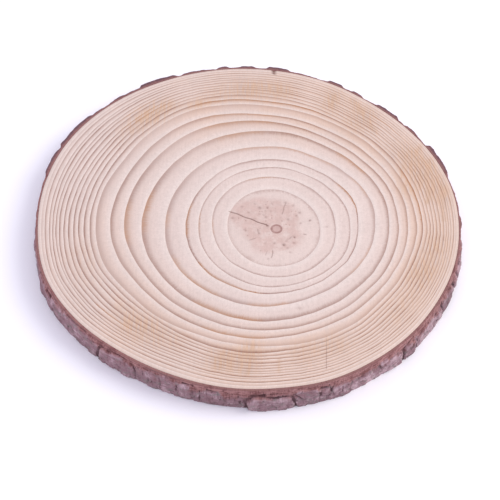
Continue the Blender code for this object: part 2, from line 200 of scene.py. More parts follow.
# The bark at the top face, outward from the wood's edge, every 15 degrees.
BARK_AT_TOP = [
    0.8, 0.6, 0.8, 0.8, 0.9, 0.9, 1.2, 1.2, 1.3, 1.3, 1.3, 1.1,
    1.0, 1.2, 1.2, 1.2, 1.2, 1.2, 1.2, 1.1, 1.1, 1.0, 0.9, 0.8,
]
# The same at the bottom face, where no plate covers it.
BARK_AT_FOOT = [
    1.7, 1.6, 1.5, 1.5, 1.5, 1.5, 1.6, 1.6, 1.8, 1.6, 1.6, 1.7,
    1.7, 2.1, 2.2, 2.0, 1.9, 1.6, 1.9, 1.9, 1.6, 2.0, 2.0, 1.9,
]
LEAST_BARK = 0.7
# A painted shade on the bark, every 30 degrees: it darkens the bark most at the right, where the lamp
# falls, and at the front, and pales it a little at 210 degrees.
PAINTED_BARK_SHADE = [0.93, 0.95, 0.95, 0.95, 0.95, 1.0, 1.0, 1.08, 1.0, 0.91, 0.96, 0.86]
BOX_MARGIN = 0.03
# Outer bark plates: first and last direction, lowest and highest edge, how far out each end stands,
# the height over which the plate thins to its highest edge, and how pale it is.
PLATES = [
    (1, 7, 3, 12, 1.3, 1.1, 0, 0.1), (10, 21, 0, 9, 1.9, 2.1, 2, 0),
    (21, 36.5, 0, 12, 1.9, 2.7, 0, -0.2), (38, 44, 0, 8, 2, 1.8, 2.6, 0.2),
    (40.5, 47, 0, 12, 1.3, 1.8, 0, 0), (48.5, 57, 0, 12, 2.3, 2.2, 0, 0.1),
    (59, 64, 0, 8, 2.2, 2, 2.6, -0.3), (61.5, 67, 0, 12, 1.5, 1.9, 0, -0.1),
    (69.5, 75.5, 0, 12, 2.2, 1.9, 0, 0.2), (77, 84, 0, 9, 2, 2.4, 2.6, 0),
    (84.5, 91.5, 0, 12, 2.6, 2.7, 0, -0.2), (92, 102, 0, 10, 1.8, 2.2, 2.6, 0.3),
    (94, 99.5, 0, 12, 2.1, 1.9, 0, 0.1), (102.5, 107, 0, 12, 2.3, 2, 0, 0),
    (108, 115, 0, 8, 2.4, 2.1, 2.6, 0.2), (109, 115, 0, 12, 1.5, 1.7, 0, 0.1),
    (115, 125.5, 0, 12, 2.7, 2.7, 0, -0.1), (127, 135, 0, 12, 1.9, 1.8, 0, 0.1),
    (136, 142, 0, 12, 1.5, 1.7, 0, 0), (141.5, 153, 0, 12, 2.5, 2.6, 0, -0.2),
    (153, 163, 0, 12, 2.1, 1.9, 0, -0.1), (164, 178, 0, 7, 1.8, 2.2, 2.6, 0.1),
    (178, 191, 2, 9, 2, 1.7, 2.6, 0), (192, 201.2, 0, 11, 2.2, 2.6, 1.6, -0.2),
    (201, 219, 0, 12.5, 2.5, 2.1, 2.6, 0.1), (219.5, 230, 0, 11, 3.1, 2.3, 1.5, -0.1),
    (230.2, 246.4, 0, 12.5, 1.9, 2, 2.6, 0.2), (247, 256, 0, 10.5, 1.9, 1.6, 2.6, 0.1),
    (261.5, 273.9, 0, 8, 3.3, 2.8, 0.6, 0.35), (274.2, 281.6, 0, 11, 2.1, 2.2, 1.5, 0.2),
    (281.9, 284.5, 0, 9, 1.9, 2, 2.6, 0), (284.8, 291, 0, 9, 2.3, 1.8, 1.5, 0.3),
    (291.5, 301.5, 0, 7, 1.7, 1.6, 2.6, 1), (301.3, 309.7, 0, 10, 1.7, 2.5, 2.4, 0.7),
    (310.2, 316.2, 0, 9, 2.7, 2.6, 1.6, -0.5), (316.8, 330.5, 0, 9.5, 2, 2.3, 2.6, 1),
    (331, 340, 0, 10, 2.3, 2.5, 2.6, -0.2), (341, 344, 2, 10, 3, 2.7, 2.6, 0.4),
    (345, 359, 0, 9, 2.3, 1.9, 2.6, 0.5),
]
# Gashes in the bark: from and to, each a direction and a height, half width and depth.
GASHES = [
    ((315, 10.6), (310.3, 7.8), 0.5, 1), ((310.3, 7.8), (309.9, 1.5), 0.45, 0.8),
    ((313.8, 7.5), (312.4, 4.5), 0.3, 0.4), ((244.1, 10.4), (246.7, 10.2), 0.6, 0.8),
    ((247.4, 8.5), (247.3, 2), 0.3, 0.4), ((248.6, 8), (248.5, 1), 0.4, 0.6),
    ((250.8, 9.6), (253.2, 9.3), 0.5, 0.5), ((237.5, 9), (237.8, 1), 0.3, 0.4),
    ((233.9, 10), (234.3, 3), 0.3, 0.35), ((205.5, 6.5), (205.5, 1.5), 0.35, 0.5),
    ((208, 5), (208.2, 1), 0.35, 0.5), ((282, 9.3), (283.5, 9), 0.6, 0.8),
    ((284.3, 10), (284.7, 7), 0.4, 0.6), ((284.7, 7), (285.8, 3), 0.4, 0.6),
    ((288.2, 7), (288.4, 3), 0.35, 0.35), ((274.4, 8.5), (276.2, 5), 0.5, 0.7),
    ((330.8, 8), (331.6, 3), 0.4, 0.5), ((297, 8.5), (296.6, 4), 0.3, 0.3),
    ((262.4, 8.7), (266.3, 9), 0.6, 0.8), ((267.4, 8.9), (269.6, 9.3), 0.5, 0.6),
]
PLATE_EDGE = 0.6
PLATE_DOME = 0.2  # how much lower a plate is near its edges
PLATE_DOME_WIDTH = 3.5
PLATE_ARCH = 1.6  # how much lower its highest edge is at the ends
TALL_PLATE_EDGE = 2.2
# How rough the bark's edge is at the top face, every 45 degrees.
TOP_ROUGHNESS = [0.6, 0.6, 0.6, 0.7, 0.45, 0.3, 0.3, 0.5]
PLATE_SLANT = 0.28
PLATE_SLANT_TURNS = 11
PLATE_WANDER = 0.7
STRAY_LENGTHS = (3, 14)
STRAY_WAVES = 4
SCALES = 64
SCALE_RANGES = [(0.5, 8.0), (1.6, 3.6), (1.6, 3.4), (0.2, 0.55)]  # middle height, half sizes and lift
SCALE_SLANT = 0.3
SCALE_TILT = 0.4
FISSURES = 62
FISSURE_WIDTH = 0.55
FISSURE_DEPTHS = (0.2, 1.2)
FISSURE_RANGES = [(-6, 3), (5, 10), (-0.3, 0.3)]  # low end, high end and lean
FISSURE_STRAY = 0.5
FISSURE_TAPER = 2.0
GASH_STRAY = 0.3
CRACKLES = 190  # hairline cracks in the plates
CRACKLE_WIDTH = 0.22
CRACKLE_RANGES = [(0.12, 0.4), (0, 9), (1.5, 4.5), (-0.35, 0.35)]  # depth, middle height, reach, lean
CRACKLE_STRAY = 0.35
CRACKLE_DRAWS = 300  # the seed of their first sway
LAYER_STEP = 0.22
LAYER_SHARPNESS = 5
BARE_GRAIN = 0.4  # the inner bark's share of the grain that the plates have
SMOOTH_BAND = 1.5  # the height under the top face over which scales and cracks fade
BAND_GRAIN = 0.3  # the share of the grain that is left there
LOW_RAGGED = 0.3  # how ragged the bark is below that band, beside the top face
HOLLOW_REACH = (6, 4)  # points round and up that a hollow is measured against
HOLLOW_DEPTH = 0.45
BARK_COLUMNS = 1360
BARK_ROWS = 50
BARK_TUCK = 0.03  # how far the bark reaches in under the wood's edge
RIM_DROP = 0.05  # how much lower than the wood the bark is cut
BARK_ROUNDING = 0.25
# The rows of the sawn rim: how far out, as a share, and how low, in RIM_DROPs.
RIM_ROWS = [(0.0, 1.0), (0.35, 1.0), (0.7, 1.2)]

# Seeded noise: how strong, how long a cell is, cells round the slice, and what its seed adds to SEED.
RIPPLE_SLOW = (0.28, 2.5, 26, 0)
RIPPLE_FAST = (0.14, 2, 70, 1)
RIPPLE_FINEST = (0.112, 1.5, 160, 18)
LATE_START_STRAY = (0.1, 1, 20, 2)
WIDE_DARK_STRAY = (0.16, 1, 14, 3)
NARROW_DARK_SLOW = (0.24, 1, 60, 4)
NARROW_DARK_FAST = (0.2, 1, 170, 15)
HEART_RAGGED = (1.2, 4, 22, 14)
PLATE_RAGGED = (1.2, 2.5, 130, 5)
LUMPS = (0.17, 2.2, 190, 7)
SMALL_LUMPS = (0.11, 0.9, 420, 8)
FIBRES = (0.06, 3.5, 900, 9)
LAYERS = (3.2, 3.0, 110, 10)
RIM_ROUGH = (RIM_DROP, 1, 300, 12)
BROKEN = (0.5, 3, 120, 13)
RAGGED = (0.5, 3, 150, 16)
FINE_RAGGED = (0.3, 1.5, 420, 17)

# The maps: middle and scale of the sawn faces; left, width, lowest and height of side and strips.
TOP_MAP = (0.415, 0.415, 0.82 / 192)
UNDER_MAP = (0.84, 0.84, 0.3 / 192)
SIDE_MAP = (0.86, 0.13, 0.01, 0.03)
MAP_STRIPS = 5
STRIP_MAP = (0.01, 0.98, 0.005, 0.19)
STRIP_OUTSIDE = 0.93
STRIP_INSIDE = (0.955, 0.02)

# How strongly the light falls on a level and on an upright surface: red, green and blue.
LEVEL_LIGHT = (1.24, 1.19, 1.3)
SIDE_LIGHT = (0.95, 0.92, 1.02)

PHOTO_SIZE = 500  # pixels
CAMERA_ELEVATION = 51
CAMERA_DISTANCE = 600.0
CAMERA_AIM = (1.1, -11.24, 0.0)
FACE_WIDTH = 195.0  # seen as this many pixels across:
FACE_PIXELS = 427
SENSOR_WIDTH = 36
CAMERA_CLIP = (0.01, 20)

# The room and its lamp, in metres.
FLOOR_SIZE = 3.0
FLOOR_DROP = 0.00005
FLOOR_COLOUR = (0.93, 0.93, 0.94, 1.0)
ROOM_COLOUR = (0.874, 0.85, 1.0, 1.0)
ROOM_STRENGTH = 1.07
LAMP_PLACE = (0.9, 0.08, 0.86)
LAMP_SIZE = 0.8
LAMP_POWER = 7.4
LAMP_COLOUR = (1.0, 0.97, 0.9)


def around(values, turn):
    """A smooth closed curve through values that are evenly spaced round the slice."""
    values = np.asarray(values, float)
    place = np.asarray(turn, float) / 360 * len(values)
    first = np.floor(place).astype(int)
    share = place - first
    a, b, c, d = (values[(first + step) % len(values)] for step in (-1, 0, 1, 2))
    bend = 2 * a - 5 * b + 4 * c - d + share * (3 * (b - c) + d - a)
    return b + 0.5 * share * (c - a + share * bend)


def smooth(share):
    """0 below 0, 1 above 1, and an even S between."""
    share = np.clip(share, 0, 1)
    return share * share * (3 - 2 * share)


def bell(off, half):
    """1 at 0, falling alike on both sides."""
    return np.exp(-((off / half) ** 2))


def sway(position, seed):
    """A gentle wander between about -1 and 1, along a position in millimetres."""
    draw = np.random.default_rng(seed)
    lengths = draw.uniform(*STRAY_LENGTHS, STRAY_WAVES)
    starts = draw.uniform(0, 2 * math.pi, STRAY_WAVES)
    waves = [np.sin(2 * math.pi * position / run + start) for run, start in zip(lengths, starts)]
    return sum(waves) / STRAY_WAVES


def signed_turn(turn, middle):
    """Degrees from middle to turn, the short way."""
    return (turn - middle + 180) % 360 - 180


def cloud(turn, along, cells_round, seed):
    """Smooth noise between -1 and 1, closed round the slice; one cell is one unit of along."""
    draw = np.random.default_rng(seed)
    across = turn / 360 * cells_round
    along = np.broadcast_to(along, turn.shape)
    lowest = math.floor(along.min())
    grid = draw.uniform(-1, 1, (cells_round, math.floor(along.max()) - lowest + 2))
    column = np.floor(across).astype(int)
    row = np.floor(along).astype(int)
    u = smooth(across - column)
    v = smooth(along - row)
    row = row - lowest
    left = column % cells_round
    right = (column + 1) % cells_round
    low = grid[left, row] * (1 - u) + grid[right, row] * u
    high = grid[left, row + 1] * (1 - u) + grid[right, row + 1] * u
    return low * (1 - v) + high * v


def ruffle(kind, turn, along):
    """One of the seeded noises, at its own strength."""
    strength, length, cells_round, seed = kind
    return strength * cloud(turn, along / length, cells_round, SEED + seed)


def turns(columns):
    """Directions, evenly spaced round the slice."""
    return np.arange(columns) * 360 / columns


def flat_place(turn, radius):
    """A place on the flat, from the pith."""
    return np.stack([radius * np.cos(np.radians(turn)), radius * np.sin(np.radians(turn))], -1)


def spoke_at(turn, along):
    """What the noise in a material is read at, so that it closes round the slice."""
    angle = np.radians(turn)
    return np.stack([np.cos(angle), np.sin(angle), np.broadcast_to(along / 100, turn.shape)], -1)


def place(radius, turn, height):
    """Points in the part's frame, from the pith outward."""
    height = np.broadcast_to(height, np.shape(radius))
    return np.concatenate([PITH + flat_place(turn, radius), height[:, None]], 1)


def wood_edge(turn):
    return around(WOOD_EDGE, turn)


def find_pith():
    """The pith's place in the part's frame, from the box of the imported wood."""
    turn = turns(EDGE_COLUMNS)
    edge = flat_place(turn, wood_edge(turn))
    low, high = (np.array(corner[:2]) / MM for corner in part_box("wood"))
    return (low + high) / 2 - (edge.min(0) + edge.max(0)) / 2


PITH = find_pith()


def ring_edge(number, turn):
    """The outer edge of a ring: 0 is the pith's, and RING_COUNT is the edge of the wood."""
    if number == 0:
        return np.full_like(turn, PITH_RADIUS)
    if number == RING_COUNT:
        return wood_edge(turn)
    if number <= len(WIDE_RINGS):
        radius = around(WIDE_RINGS[number - 1], turn)
    else:
        start = around(WIDE_RINGS[-1], turn)
        share = around(NARROW_RINGS[number - 1 - len(WIDE_RINGS)], turn)
        radius = start + share * (wood_edge(turn) - start)
    share, finest_share = (min(1, number / start) for start in RIPPLE_STARTS)
    ripple = ruffle(RIPPLE_SLOW, turn, number) + ruffle(RIPPLE_FAST, turn, number)
    ripple = ripple + finest_share * ruffle(RIPPLE_FINEST, turn, number)
    return radius + share * min(1, (RING_COUNT - number) / RIPPLE_END) * ripple


def ring_rows(columns, phases_of):
    """Rows of one sawn face, from the pith outward: for each its radius, ring and phase."""
    turn = turns(columns)
    rows = [(np.full(columns, radius), -1, radius / PITH_RADIUS) for radius in PITH_ROWS]
    for ring in range(RING_COUNT):
        inner = ring_edge(ring, turn) + (RING_STEP if ring else RING_STEP / 2)
        outer = ring_edge(ring + 1, turn)
        for phase in phases_of(ring):
            rows.append((inner + phase * (outer - inner), ring, phase))
    return rows


def top_phases(ring):
    if ring == 0:
        return HEART_PHASES
    if ring == RING_COUNT - 1:
        return RIM_PHASES
    return WIDE_PHASES if ring < len(WIDE_RINGS) else NARROW_PHASES


def on_line(turn, radius, start, end, half):
    """1 on the straight line between two places, falling to 0 outside its half width."""
    first = flat_place(*start)
    along = flat_place(*end) - first
    from_first = flat_place(turn, radius) - first
    share = np.clip(from_first @ along / (along @ along), 0, 1)
    return bell(np.linalg.norm(from_first - share[:, None] * along, axis=-1), half)


def beside(turn, radius, direction):
    """How far round from a direction a point is, in millimetres."""
    return np.radians(signed_turn(turn, direction)) * radius


def stain_at(turn, radius):
    """How deep in a dark mark a point is, 0 to 1."""
    found = np.zeros_like(radius)
    for direction, first, last, half, strength in CRACKS:
        across = beside(turn, radius, direction) + CRACK_BEND * np.sin(radius * CRACK_WAVES + direction)
        ends = smooth((radius - first) / MARK_FADE) * smooth((last - radius) / MARK_FADE)
        found = np.maximum(found, strength * ends * bell(across, half))
    for first, last, distance, half, strength in ARCS:
        off = np.abs(signed_turn(turn, (first + last) / 2))
        ends = smooth(((last - first) / 2 - off) / ARC_FADE)
        across = radius - distance - ARC_BEND * np.sin(np.radians(turn * ARC_WAVES))
        found = np.maximum(found, strength * ends * bell(across, half))
    for direction, distance, half, strength in DOTS:
        off = np.hypot(beside(turn, radius, direction), radius - distance)
        found = np.maximum(found, strength * bell(off, half))
    return found


def gold_at(turn, radius):
    """How golden the wood is: all the patches and streaks together, 0 to 1."""
    found = np.zeros_like(radius)
    for direction, middle, half_round, half_out, strength in GOLD_PATCHES:
        across = beside(turn, radius, direction)
        found = found + strength * bell(across, half_round) * bell(radius - middle, half_out)
    for start, end, half, strength in GOLD_STREAKS:
        found = found + strength * on_line(turn, radius, start, end, half)
    return np.clip(found, 0, 1)


def heart_at(turn, radius):
    """How strong the heart's tint is."""
    reach = around(HEART_REACH, turn) + ruffle(HEART_RAGGED, turn, radius)
    return 1 - smooth((radius - reach) / HEART_FADE + 0.5)


def orange_at(turn, ring):
    """How orange a ring's summer wood is; it fades in and out along the ring."""
    found = np.zeros_like(turn)
    for number, first, last in ORANGE_RUNS:
        if number == ring + 1:
            half = (last - first) / 2
            off = np.abs(signed_turn(turn, first + half))
            found = np.maximum(found, smooth((half - off) / ORANGE_FADE))
    return found


def late_dark(turn, ring):
    """How dark a ring's summer wood gets, in each direction."""
    dark = around(LATE_DARKS[ring], turn)
    if ring < len(WIDE_RINGS):
        middle, half, less = SOFT_PLACE
        dark = dark * (0.92 + ruffle(WIDE_DARK_STRAY, turn, ring * 1.3))
        if 0 < ring < len(WIDE_RINGS) - 1:
            dark = dark * (1 - less * bell(signed_turn(turn, middle), half))
    else:
        stray = ruffle(NARROW_DARK_SLOW, turn, ring * 1.9) + ruffle(NARROW_DARK_FAST, turn, ring * 1.7)
        dark = dark * around(NARROW_DARKS, turn) * (0.95 + stray)
    return np.clip(dark, 0, 1)


def wood_values(turn, radius, ring, phase):
    """What the wood's material reads at one row of points."""
    ring_at = max(ring, 0)
    swing = LATE_START_SWING * np.cos(np.radians(turn)) if 2 < ring < len(WIDE_RINGS) else 0
    start = LATE_STARTS[ring_at] + swing + ruffle(LATE_START_STRAY, turn, ring_at * 1.7)
    if ring == RING_COUNT - 1:
        phase = 2 * phase % 1 if phase < 1 else EDGE_PHASE
    return {
        "phase": np.full_like(turn, phase),
        "late_start": np.minimum(start, LATEST_START),
        "late_dark": late_dark(turn, ring_at),
        "orange": orange_at(turn, ring),
        "gold": gold_at(turn, radius),
        "heart": heart_at(turn, radius) if ring <= 0 else 0 * turn,
        "pith": np.full_like(turn, float(ring < 0)),
        "outer": smooth((radius - WARMTH_START) / (WARMTH_FULL - WARMTH_START)) * around(WARMTH, turn),
        "rim": smooth((radius - wood_edge(turn)) / EDGE_BAND + 1),
        "stain": stain_at(turn, radius),
        "spoke": spoke_at(turn, radius),
    }


def wood_height(turn, radius, ring, phase):
    """The top face: flat, with a fine groove at each ring's end and the crack in the heart."""
    depth = NARROW_GROOVE if ring >= len(WIDE_RINGS) else WIDE_GROOVE
    groove = depth * smooth((phase - GROOVE_START) / (1 - GROOVE_START)) if ring < RING_COUNT - 1 else 0
    return THICKNESS - groove - CRACK_DEPTH * stain_at(turn, radius) ** 2


def strip(first, second, columns):
    """Quads between two loops of as many points."""
    step = np.arange(columns)
    after = (step + 1) % columns
    return np.stack([first + step, second + step, second + after, first + after], 1).tolist()


def halving(first, second, columns):
    """Triangles from a loop to one of half as many points."""
    faces = []
    for step in range(columns):
        left, middle, right = (first + (2 * step + k) % (2 * columns) for k in range(3))
        near = second + step
        far = second + (step + 1) % columns
        faces.extend([(left, near, middle), (middle, near, far), (middle, far, right)])
    return faces


def fan(centre, loop_start, columns, outward):
    """Triangles from a point to a loop."""
    ahead = loop_start + np.arange(columns)
    after = loop_start + (np.arange(columns) + 1) % columns
    order = (ahead, after) if outward else (after, ahead)
    return np.stack([np.full(columns, centre), *order], 1).tolist()


def add_object(name, data):
    made = bpy.data.objects.new(name, data)
    scene.collection.objects.link(made)
    return made


def make_mesh(name, points, faces, values, map_of):
    """A mesh piece with its values as attributes and its own map."""
    mesh = bpy.data.meshes.new(name)
    mesh.from_pydata((points * MM).tolist(), [], faces)
    for label, data in values.items():
        kind, part = ("FLOAT_VECTOR", "vector") if data.ndim == 2 else ("FLOAT", "value")
        attribute = mesh.attributes.new(label, kind, "POINT")
        attribute.data.foreach_set(part, data.astype(np.float32).ravel())
    corners = np.array([corner for face in faces for corner in face])
    faces_at = np.repeat(np.arange(len(faces)), [len(face) for face in faces])
    layer = mesh.uv_layers.new(name="OFBake")
    flat = map_of(corners, faces_at)
    layer.data.foreach_set("uv", flat.astype(np.float32).ravel())
    mesh.shade_smooth()
    return add_object(name, mesh)


def gathered(rows):
    """One array for each value, from the rows' own."""
    return {label: np.concatenate([row[label] for row in rows]) for label in rows[0]}


def make_wood():
    """One closed body: the top face outward from the pith, the side, and the underside inward."""
    half = WOOD_COLUMNS // 2
    loops = []
    values = []

    def add_loop(columns, radius, height, ring, phase):
        loops.append(place(radius, turns(columns), height))
        values.append(wood_values(turns(columns), radius, ring, phase))

    add_loop(1, np.zeros(1), THICKNESS, -1, 0.0)
    faces = fan(0, 1, WOOD_COLUMNS, True)
    start = 1
    top_rows = ring_rows(WOOD_COLUMNS, top_phases)
    for radius, ring, phase in top_rows:
        height = wood_height(turns(WOOD_COLUMNS), radius, ring, phase)
        add_loop(WOOD_COLUMNS, radius, height, ring, phase)
        faces.extend(strip(start, start + WOOD_COLUMNS, WOOD_COLUMNS))
        start += WOOD_COLUMNS
    under_start = len(faces)
    side_start = under_start - WOOD_COLUMNS
    radius, ring, phase = top_rows[-1]
    add_loop(WOOD_COLUMNS, radius, 0.0, ring, phase)
    faces.extend(halving(start, start + WOOD_COLUMNS, half))
    start += WOOD_COLUMNS
    under_rows = ring_rows(half, lambda ring: UNDER_PHASES)[::-1][1:]
    for radius, ring, phase in under_rows:
        add_loop(half, radius, 0.0, ring, phase)
    for _ in under_rows[1:]:
        faces.extend(strip(start, start + half, half))
        start += half
    faces.extend(fan(start + half, start, half, False))
    add_loop(1, np.zeros(1), 0.0, -1, 0.0)
    points = np.concatenate(loops)

    def map_of(corners, faces_at):
        """The top face, the side and the underside, each in its own place."""
        spot = points[corners]
        top = np.array(TOP_MAP[:2]) + spot[:, :2] * TOP_MAP[2]
        under = np.array(UNDER_MAP[:2]) + spot[:, :2] * UNDER_MAP[2]
        turned = np.arctan2(spot[:, 1], spot[:, 0]) / (2 * math.pi) + 0.5
        left, wide, low, tall = SIDE_MAP
        side = np.stack([left + wide * turned, low + tall * spot[:, 2] / THICKNESS], 1)
        lower = np.where((faces_at < under_start)[:, None], side, under)
        return np.where((faces_at < side_start)[:, None], top, lower)

    return make_mesh("wood_face", points, faces, gathered(values), map_of)


def plate_layer(turn, height, base):
    """The outer bark's plates: what they add to the inner bark, their cover and their tone."""
    added = np.zeros_like(base)
    cover = np.zeros_like(base)
    tone = np.zeros_like(base)
    slant = PLATE_SLANT * np.sin(np.radians(PLATE_SLANT_TURNS * turn))
    ragged = ruffle(PLATE_RAGGED, turn, height)
    for number, (first, last, low, high, out_first, out_last, slope, pale) in enumerate(PLATES):
        half = (last - first) / 2
        off = signed_turn(turn, first + half)
        along = off * MM_A_DEGREE + slant * (height - THICKNESS / 2)
        stray = PLATE_WANDER * sway(height, SEED + number)
        side = half * MM_A_DEGREE - np.abs(along + stray)
        top = high - height + PLATE_WANDER * sway(along, 2 * SEED + number) + ragged
        inside = smooth(side / (PLATE_EDGE if slope > 0 else TALL_PLATE_EDGE))
        if slope > 0:
            arch = PLATE_ARCH * np.clip(np.abs(along) / (half * MM_A_DEGREE), 0, 1) ** 3
            dome = 1 - PLATE_DOME * (1 - smooth(side / PLATE_DOME_WIDTH))
            inside = inside * dome * smooth((top - arch) / slope)
        if low > 0:
            inside = inside * smooth((height - low) / PLATE_EDGE)
        out = out_first + (out_last - out_first) * np.clip(off / (2 * half) + 0.5, 0, 1)
        tone = tone + inside * (pale - tone)
        added = np.maximum(added, inside * (out - base))
        cover = np.maximum(cover, inside)
    return added, cover, tone


def scale_layer(turn, height):
    """Small loose scales, spread by a seeded draw over the lower two thirds."""
    draw = np.random.default_rng(SEED)
    added = np.zeros_like(turn)
    for number in range(SCALES):
        middle = (number + draw.uniform(0.1, 0.9)) * 360 / SCALES
        centre, wide, tall, lift = (draw.uniform(*limits) for limits in SCALE_RANGES)
        across = signed_turn(turn, middle) * MM_A_DEGREE / wide
        up = (height - centre) / tall
        edge = 1 - np.maximum(np.abs(across + SCALE_SLANT * up), np.abs(up))
        added = np.maximum(added, lift * (1 - SCALE_TILT * up) * smooth(3 * edge))
    return added


def fissure_layer(turn, height):
    """Upright cracks, spread by a seeded draw, as the depth that they take away."""
    draw = np.random.default_rng(SEED + 1)
    taken = np.zeros_like(turn)
    for number in range(FISSURES):
        middle = draw.uniform(0, 360)
        depth = FISSURE_DEPTHS[0] + draw.uniform(0, 1) ** 2 * (FISSURE_DEPTHS[1] - FISSURE_DEPTHS[0])
        low, high, lean = (draw.uniform(*limits) for limits in FISSURE_RANGES)
        stray = lean * height + FISSURE_STRAY * sway(height, number)
        across = signed_turn(turn, middle) * MM_A_DEGREE + stray
        reach = smooth((height - low) / FISSURE_TAPER) * smooth((high - height) / FISSURE_TAPER)
        taken = np.maximum(taken, depth * reach * bell(across, FISSURE_WIDTH))
    return taken


def gash_layer(turn, height):
    """The larger gashes, each a straight line, as the depth that they take away."""
    taken = np.zeros_like(turn)
    stray = GASH_STRAY * sway(height, SEED + 21)
    for (turn_from, height_from), (turn_to, height_to), half, depth in GASHES:
        across = signed_turn(turn, turn_from) * MM_A_DEGREE + stray
        along = (turn_to - turn_from) * MM_A_DEGREE
        rise = height_to - height_from
        share = np.clip((across * along + (height - height_from) * rise) / (along**2 + rise**2), 0, 1)
        off = np.hypot(across - share * along, height - height_from - share * rise)
        taken = np.maximum(taken, depth * bell(off, half))
    return taken


def crackle_layer(turn, height):
    """Hairline cracks, as the depth that they take away."""
    draw = np.random.default_rng(SEED + 6)
    taken = np.zeros_like(turn)
    for number in range(CRACKLES):
        middle = (number + draw.uniform(0, 1)) * 360 / CRACKLES
        depth, centre, reach, lean = (draw.uniform(*limits) for limits in CRACKLE_RANGES)
        stray = lean * (height - centre) + CRACKLE_STRAY * sway(height, number + CRACKLE_DRAWS)
        across = signed_turn(turn, middle) * MM_A_DEGREE + stray
        ends = smooth(2 * (1 - np.abs(height - centre) / reach))
        taken = np.maximum(taken, depth * ends * bell(across, CRACKLE_WIDTH))
    return taken


def grain_layer(turn, height, cover):
    """Lumps, upright fibres and thin stepped layers; finer and flatter on the bare inner bark."""
    lumps = ruffle(LUMPS, turn, height) + ruffle(SMALL_LUMPS, turn, height)
    level = ruffle(LAYERS, turn, height)
    down = np.floor(level)
    layers = LAYER_STEP * (smooth((level - down) * LAYER_SHARPNESS) + down - level)
    share = BARE_GRAIN + (1 - BARE_GRAIN) * cover
    return share * (lumps + layers) + ruffle(FIBRES, turn, height)


def room_round(turn):
    """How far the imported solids' box is from the pith, in each direction."""
    low, high = (np.array(corner[:2]) / MM for corner in cad_box)
    ahead = flat_place(turn, 1.0)
    sides = np.where(ahead > 0, high - PITH, low - PITH)
    return (sides / np.where(ahead == 0, 1e-9, ahead)).min(-1) - BOX_MARGIN


def bark_shape(turn, height):
    """How far the bark's outside is from the wood's edge, its cover of plates and its tone."""
    share = 1 - height / THICKNESS
    base = around(BARK_AT_TOP, turn) * (1 - share) + around(BARK_AT_FOOT, turn) * share
    added, cover, tone = plate_layer(turn, height, base)
    lifted = scale_layer(turn, height)
    lower = smooth((THICKNESS - height) / SMOOTH_BAND)
    broken = 0.5 + ruffle(BROKEN, turn, height)
    cracks = np.maximum(fissure_layer(turn, height) * broken, crackle_layer(turn, height))
    out = base + added + lower * (lifted - cracks) - gash_layer(turn, height)
    out = out + (BAND_GRAIN + (1 - BAND_GRAIN) * lower) * grain_layer(turn, height, cover)
    ragged = ruffle(RAGGED, turn, height) + ruffle(FINE_RAGGED, turn, height)
    out = out + around(TOP_ROUGHNESS, turn) * (1 - (1 - LOW_RAGGED) * lower) * ragged
    out = np.minimum(out, room_round(turn) - wood_edge(turn))
    return np.maximum(out, LEAST_BARK), np.maximum(cover, smooth(lifted * 3)), tone


def blurred(values, steps_round, steps_up):
    """The mean of each point's neighbours, closed round the slice."""
    across = 2 * steps_round + 1
    upright = 2 * steps_up + 1
    wide = sum(np.roll(values, step - steps_round, 1) for step in range(across)) / across
    padded = np.pad(wide, ((steps_up, steps_up), (0, 0)), "edge")
    return sum(padded[step : step + len(values)] for step in range(upright)) / upright


def bark_values(turn, height, out, cover, tone, hollow, rim):
    """What the bark's material reads at one row of points."""
    return {
        "out": smooth((out - 0.6) / 1.2),
        "cover": cover,
        "tone": tone,
        "hollow": hollow,
        "rim": np.full_like(turn, rim),
        "level": np.full_like(turn, height.mean() / THICKNESS),
        # painted shade, by direction round the slice
        "shade": around(PAINTED_BARK_SHADE, turn),
        "spoke": spoke_at(turn, height.mean()),
    }


